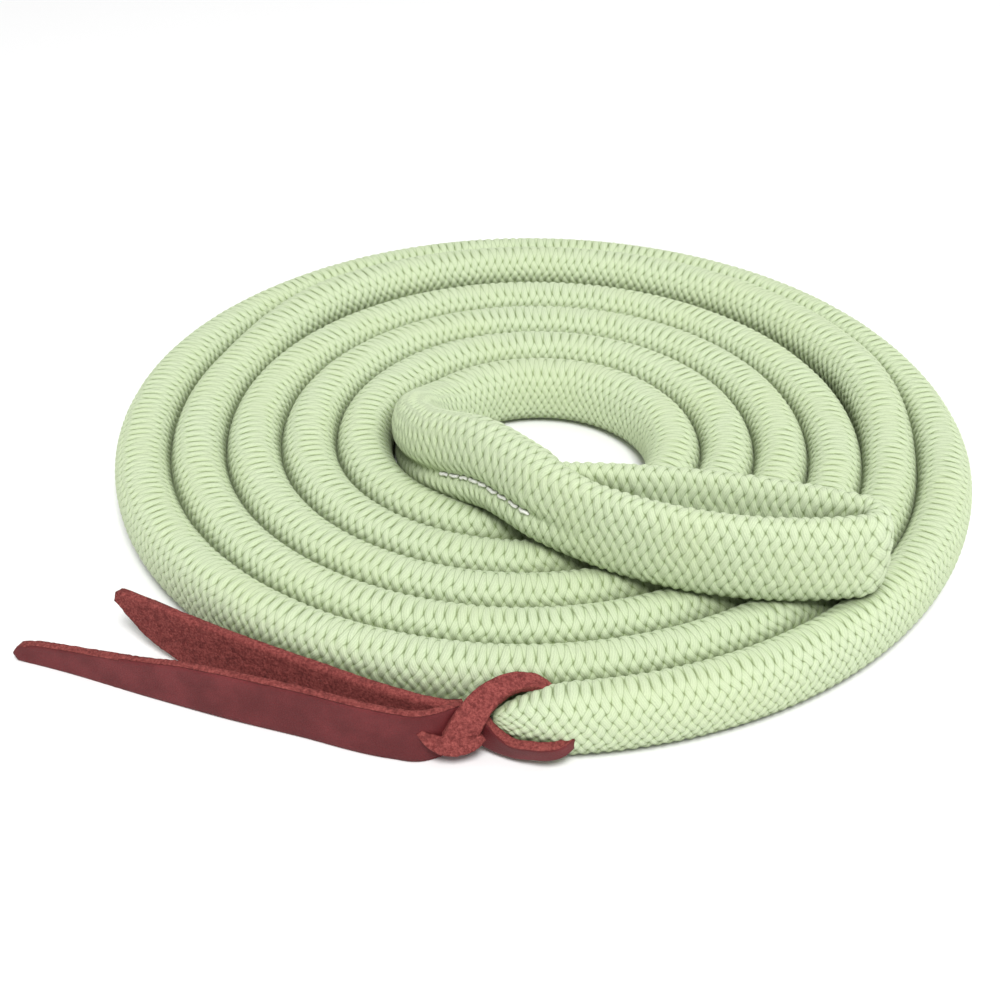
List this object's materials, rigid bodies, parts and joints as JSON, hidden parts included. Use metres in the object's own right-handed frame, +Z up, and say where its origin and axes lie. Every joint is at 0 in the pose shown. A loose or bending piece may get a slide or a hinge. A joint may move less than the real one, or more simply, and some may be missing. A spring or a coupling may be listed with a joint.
{
  "type": "braided lead rope",
  "caption": "Coiled braided lead rope with a stitched, spliced eye at its inner end and a slit leather popper through its tapered outer end.",
  "frame": {"origin": "middle of the coil, on the ground", "axes": "+Z up; +X to the right and -Y to the front, where the popper lies"},
  "size_m": [0.2666, 0.2654, 0.0453],
  "materials": {
    "rope": "matte braid",
    "thread": "waxed thread",
    "leather": "oiled latigo, suede back"
  },
  "bodies": {
    "splice": {"splice_cover": "rope", "buried_tail": "rope", "stitch_thread": "thread"},
    "eye_front": {"eye_front_leg": "rope"},
    "eye_back": {"eye_back_leg": "rope"},
    "popper": {"popper_loop": "leather"},
    "front_tail": {"popper_front_tail": "leather"},
    "rear_tail": {"popper_rear_tail": "leather"},
    "rope_39": {"rope_39": "rope"},
    "rope_38": {"rope_38": "rope"},
    "rope_37": {"rope_37": "rope"},
    "rope_36": {"rope_36": "rope"},
    "rope_35": {"rope_35": "rope"},
    "rope_34": {"rope_34": "rope"},
    "rope_33": {"rope_33": "rope"},
    "rope_32": {"rope_32": "rope"},
    "rope_31": {"rope_31": "rope"},
    "rope_30": {"rope_30": "rope"},
    "rope_29": {"rope_29": "rope"},
    "rope_28": {"rope_28": "rope"},
    "rope_27": {"rope_27": "rope"},
    "rope_26": {"rope_26": "rope"},
    "rope_25": {"rope_25": "rope"},
    "rope_24": {"rope_24": "rope"},
    "rope_23": {"rope_23": "rope"},
    "rope_22": {"rope_22": "rope"},
    "rope_21": {"rope_21": "rope"},
    "rope_20": {"rope_20": "rope"},
    "rope_19": {"rope_19": "rope"},
    "rope_18": {"rope_18": "rope"},
    "rope_17": {"rope_17": "rope"},
    "rope_16": {"rope_16": "rope"},
    "rope_15": {"rope_15": "rope"},
    "rope_14": {"rope_14": "rope"},
    "rope_13": {"rope_13": "rope"},
    "rope_12": {"rope_12": "rope"},
    "rope_11": {"rope_11": "rope"},
    "rope_10": {"rope_10": "rope"},
    "rope_09": {"rope_09": "rope"},
    "rope_08": {"rope_08": "rope"},
    "rope_07": {"rope_07": "rope"},
    "rope_06": {"rope_06": "rope"},
    "rope_05": {"rope_05": "rope"},
    "rope_04": {"rope_04": "rope"},
    "rope_03": {"rope_03": "rope"},
    "rope_02": {"rope_02": "rope"},
    "rope_01": {"rope_01": "rope"}
  },
  "joints": [
    {"name": "uncoil", "type": "hinge", "parent": "splice", "child": "rope_39", "pos_m": [-0.02301, 0.02387, 0.009], "axis": [0, 0, 1], "range_deg": [0, 18]},
    {"name": "bend_38", "type": "hinge", "parent": "rope_39", "child": "rope_38", "pos_m": [0.00885, 0.03238, 0.009], "axis": [0, 0, 1], "range_deg": [0, 18]},
    {"name": "bend_37", "type": "hinge", "parent": "rope_38", "child": "rope_37", "pos_m": [0.03654, 0.01155, 0.009], "axis": [0, 0, 1], "range_deg": [0, 18]},
    {"name": "bend_36", "type": "hinge", "parent": "rope_37", "child": "rope_36", "pos_m": [0.03727, -0.02503, 0.009], "axis": [0, 0, 1], "range_deg": [0, 18]},
    {"name": "bend_35", "type": "hinge", "parent": "rope_36", "child": "rope_35", "pos_m": [0.00717, -0.04962, 0.009], "axis": [0, 0, 1], "range_deg": [0, 18]},
    {"name": "bend_34", "type": "hinge", "parent": "rope_35", "child": "rope_34", "pos_m": [-0.03316, -0.04057, 0.009], "axis": [0, 0, 1], "range_deg": [0, 18]},
    {"name": "bend_33", "type": "hinge", "parent": "rope_34", "child": "rope_33", "pos_m": [-0.05192, -0.00115, 0.009], "axis": [0, 0, 1], "range_deg": [0, 18]},
    {"name": "bend_32", "type": "hinge", "parent": "rope_33", "child": "rope_32", "pos_m": [-0.03159, 0.03972, 0.009], "axis": [0, 0, 1], "range_deg": [0, 18]},
    {"name": "bend_31", "type": "hinge", "parent": "rope_32", "child": "rope_31", "pos_m": [0.01477, 0.04928, 0.009], "axis": [0, 0, 1], "range_deg": [0, 18]},
    {"name": "bend_30", "type": "hinge", "parent": "rope_31", "child": "rope_30", "pos_m": [0.05219, 0.0176, 0.009], "axis": [0, 0, 1], "range_deg": [0, 18]},
    {"name": "bend_29", "type": "hinge", "parent": "rope_30", "child": "rope_29", "pos_m": [0.05028, -0.03335, 0.009], "axis": [0, 0, 1], "range_deg": [0, 18]},
    {"name": "bend_28", "type": "hinge", "parent": "rope_29", "child": "rope_28", "pos_m": [0.00713, -0.06464, 0.009], "axis": [0, 0, 1], "range_deg": [0, 18]},
    {"name": "bend_27", "type": "hinge", "parent": "rope_28", "child": "rope_27", "pos_m": [-0.04648, -0.04932, 0.009], "axis": [0, 0, 1], "range_deg": [0, 18]},
    {"name": "bend_26", "type": "hinge", "parent": "rope_27", "child": "rope_26", "pos_m": [-0.06837, 0.00446, 0.009], "axis": [0, 0, 1], "range_deg": [0, 18]},
    {"name": "bend_25", "type": "hinge", "parent": "rope_26", "child": "rope_25", "pos_m": [-0.03858, 0.05658, 0.009], "axis": [0, 0, 1], "range_deg": [0, 18]},
    {"name": "bend_24", "type": "hinge", "parent": "rope_25", "child": "rope_24", "pos_m": [0.02247, 0.06554, 0.009], "axis": [0, 0, 1], "range_deg": [0, 18]},
    {"name": "bend_23", "type": "hinge", "parent": "rope_24", "child": "rope_23", "pos_m": [0.06843, 0.02185, 0.009], "axis": [0, 0, 1], "range_deg": [0, 18]},
    {"name": "bend_22", "type": "hinge", "parent": "rope_23", "child": "rope_22", "pos_m": [0.06222, -0.04324, 0.009], "axis": [0, 0, 1], "range_deg": [0, 18]},
    {"name": "bend_21", "type": "hinge", "parent": "rope_22", "child": "rope_21", "pos_m": [0.0052, -0.07978, 0.009], "axis": [0, 0, 1], "range_deg": [0, 18]},
    {"name": "bend_20", "type": "hinge", "parent": "rope_21", "child": "rope_20", "pos_m": [-0.06105, -0.05664, 0.009], "axis": [0, 0, 1], "range_deg": [0, 18]},
    {"name": "bend_19", "type": "hinge", "parent": "rope_20", "child": "rope_19", "pos_m": [-0.08446, 0.01194, 0.009], "axis": [0, 0, 1], "range_deg": [0, 18]},
    {"name": "bend_18", "type": "hinge", "parent": "rope_19", "child": "rope_18", "pos_m": [-0.04389, 0.0743, 0.009], "axis": [0, 0, 1], "range_deg": [0, 18]},
    {"name": "bend_17", "type": "hinge", "parent": "rope_18", "child": "rope_17", "pos_m": [0.0319, 0.081, 0.009], "axis": [0, 0, 1], "range_deg": [0, 18]},
    {"name": "bend_16", "type": "hinge", "parent": "rope_17", "child": "rope_16", "pos_m": [0.0851, 0.02425, 0.009], "axis": [0, 0, 1], "range_deg": [0, 18]},
    {"name": "bend_15", "type": "hinge", "parent": "rope_16", "child": "rope_15", "pos_m": [0.07296, -0.05462, 0.009], "axis": [0, 0, 1], "range_deg": [0, 18]},
    {"name": "bend_14", "type": "hinge", "parent": "rope_15", "child": "rope_14", "pos_m": [0.00137, -0.09488, 0.009], "axis": [0, 0, 1], "range_deg": [0, 18]},
    {"name": "bend_13", "type": "hinge", "parent": "rope_14", "child": "rope_13", "pos_m": [-0.07676, -0.06243, 0.009], "axis": [0, 0, 1], "range_deg": [0, 18]},
    {"name": "bend_12", "type": "hinge", "parent": "rope_13", "child": "rope_12", "pos_m": [-0.10005, 0.02125, 0.009], "axis": [0, 0, 1], "range_deg": [0, 18]},
    {"name": "bend_11", "type": "hinge", "parent": "rope_12", "child": "rope_11", "pos_m": [-0.04743, 0.09275, 0.009], "axis": [0, 0, 1], "range_deg": [0, 18]},
    {"name": "bend_10", "type": "hinge", "parent": "rope_11", "child": "rope_10", "pos_m": [0.04298, 0.09552, 0.009], "axis": [0, 0, 1], "range_deg": [0, 18]},
    {"name": "bend_09", "type": "hinge", "parent": "rope_10", "child": "rope_09", "pos_m": [0.10204, 0.02475, 0.009], "axis": [0, 0, 1], "range_deg": [0, 18]},
    {"name": "bend_08", "type": "hinge", "parent": "rope_09", "child": "rope_08", "pos_m": [0.08238, -0.06737, 0.009], "axis": [0, 0, 1], "range_deg": [0, 18]},
    {"name": "bend_07", "type": "hinge", "parent": "rope_08", "child": "rope_07", "pos_m": [-0.00437, -0.10977, 0.009], "axis": [0, 0, 1], "range_deg": [0, 18]},
    {"name": "bend_06", "type": "hinge", "parent": "rope_07", "child": "rope_06", "pos_m": [-0.09348, -0.0666, 0.009], "axis": [0, 0, 1], "range_deg": [0, 18]},
    {"name": "bend_05", "type": "hinge", "parent": "rope_06", "child": "rope_05", "pos_m": [-0.11496, 0.03236, 0.009], "axis": [0, 0, 1], "range_deg": [0, 18]},
    {"name": "bend_04", "type": "hinge", "parent": "rope_05", "child": "rope_04", "pos_m": [-0.04914, 0.11178, 0.009], "axis": [0, 0, 1], "range_deg": [0, 18]},
    {"name": "bend_03", "type": "hinge", "parent": "rope_04", "child": "rope_03", "pos_m": [0.05564, 0.10895, 0.009], "axis": [0, 0, 1], "range_deg": [0, 18]},
    {"name": "bend_02", "type": "hinge", "parent": "rope_03", "child": "rope_02", "pos_m": [0.11909, 0.02335, 0.009], "axis": [0, 0, 1], "range_deg": [0, 18]},
    {"name": "bend_01", "type": "hinge", "parent": "rope_02", "child": "rope_01", "pos_m": [0.09034, -0.08138, 0.009], "axis": [0, 0, 1], "range_deg": [0, 18]},
    {"name": "eye_lift", "type": "hinge", "parent": "splice", "child": "eye_front", "pos_m": [0.003, -0.0655, 0.031], "axis": [-0.2079, -0.9781, 0], "range_deg": [0, 45]},
    {"name": "eye_open", "type": "hinge", "parent": "eye_front", "child": "eye_back", "pos_m": [0.0108, -0.06392, 0.031], "axis": [0, 0, 1], "range_deg": [0, 10]},
    {"name": "popper_swing", "type": "hinge", "parent": "rope_01", "child": "popper", "pos_m": [-0.007, -0.1263, 0.009], "axis": [0, 0, 1], "range_deg": [0, 25]},
    {"name": "front_tail_swing", "type": "hinge", "parent": "popper", "child": "front_tail", "pos_m": [-0.0269, -0.131, 0.0075], "axis": [0, 0, 1], "range_deg": [0, 35]},
    {"name": "rear_tail_swing", "type": "hinge", "parent": "popper", "child": "rear_tail", "pos_m": [-0.0269, -0.1241, 0.0075], "axis": [0, 0, 1], "range_deg": [0, 7]}
  ],
  "couplings": [
    {"joint": "bend_38", "follows": "uncoil", "ratio": 1},
    {"joint": "bend_37", "follows": "uncoil", "ratio": 1},
    {"joint": "bend_36", "follows": "uncoil", "ratio": 1},
    {"joint": "bend_35", "follows": "uncoil", "ratio": 1},
    {"joint": "bend_34", "follows": "uncoil", "ratio": 1},
    {"joint": "bend_33", "follows": "uncoil", "ratio": 1},
    {"joint": "bend_32", "follows": "uncoil", "ratio": 1},
    {"joint": "bend_31", "follows": "uncoil", "ratio": 1},
    {"joint": "bend_30", "follows": "uncoil", "ratio": 1},
    {"joint": "bend_29", "follows": "uncoil", "ratio": 1},
    {"joint": "bend_28", "follows": "uncoil", "ratio": 1},
    {"joint": "bend_27", "follows": "uncoil", "ratio": 1},
    {"joint": "bend_26", "follows": "uncoil", "ratio": 1},
    {"joint": "bend_25", "follows": "uncoil", "ratio": 1},
    {"joint": "bend_24", "follows": "uncoil", "ratio": 1},
    {"joint": "bend_23", "follows": "uncoil", "ratio": 1},
    {"joint": "bend_22", "follows": "uncoil", "ratio": 1},
    {"joint": "bend_21", "follows": "uncoil", "ratio": 1},
    {"joint": "bend_20", "follows": "uncoil", "ratio": 1},
    {"joint": "bend_19", "follows": "uncoil", "ratio": 1},
    {"joint": "bend_18", "follows": "uncoil", "ratio": 1},
    {"joint": "bend_17", "follows": "uncoil", "ratio": 1},
    {"joint": "bend_16", "follows": "uncoil", "ratio": 1},
    {"joint": "bend_15", "follows": "uncoil", "ratio": 1},
    {"joint": "bend_14", "follows": "uncoil", "ratio": 1},
    {"joint": "bend_13", "follows": "uncoil", "ratio": 1},
    {"joint": "bend_12", "follows": "uncoil", "ratio": 1},
    {"joint": "bend_11", "follows": "uncoil", "ratio": 1},
    {"joint": "bend_10", "follows": "uncoil", "ratio": 1},
    {"joint": "bend_09", "follows": "uncoil", "ratio": 1},
    {"joint": "bend_08", "follows": "uncoil", "ratio": 1},
    {"joint": "bend_07", "follows": "uncoil", "ratio": 1},
    {"joint": "bend_06", "follows": "uncoil", "ratio": 1},
    {"joint": "bend_05", "follows": "uncoil", "ratio": 1},
    {"joint": "bend_04", "follows": "uncoil", "ratio": 1},
    {"joint": "bend_03", "follows": "uncoil", "ratio": 1},
    {"joint": "bend_02", "follows": "uncoil", "ratio": 1},
    {"joint": "bend_01", "follows": "uncoil", "ratio": 1}
  ]
}
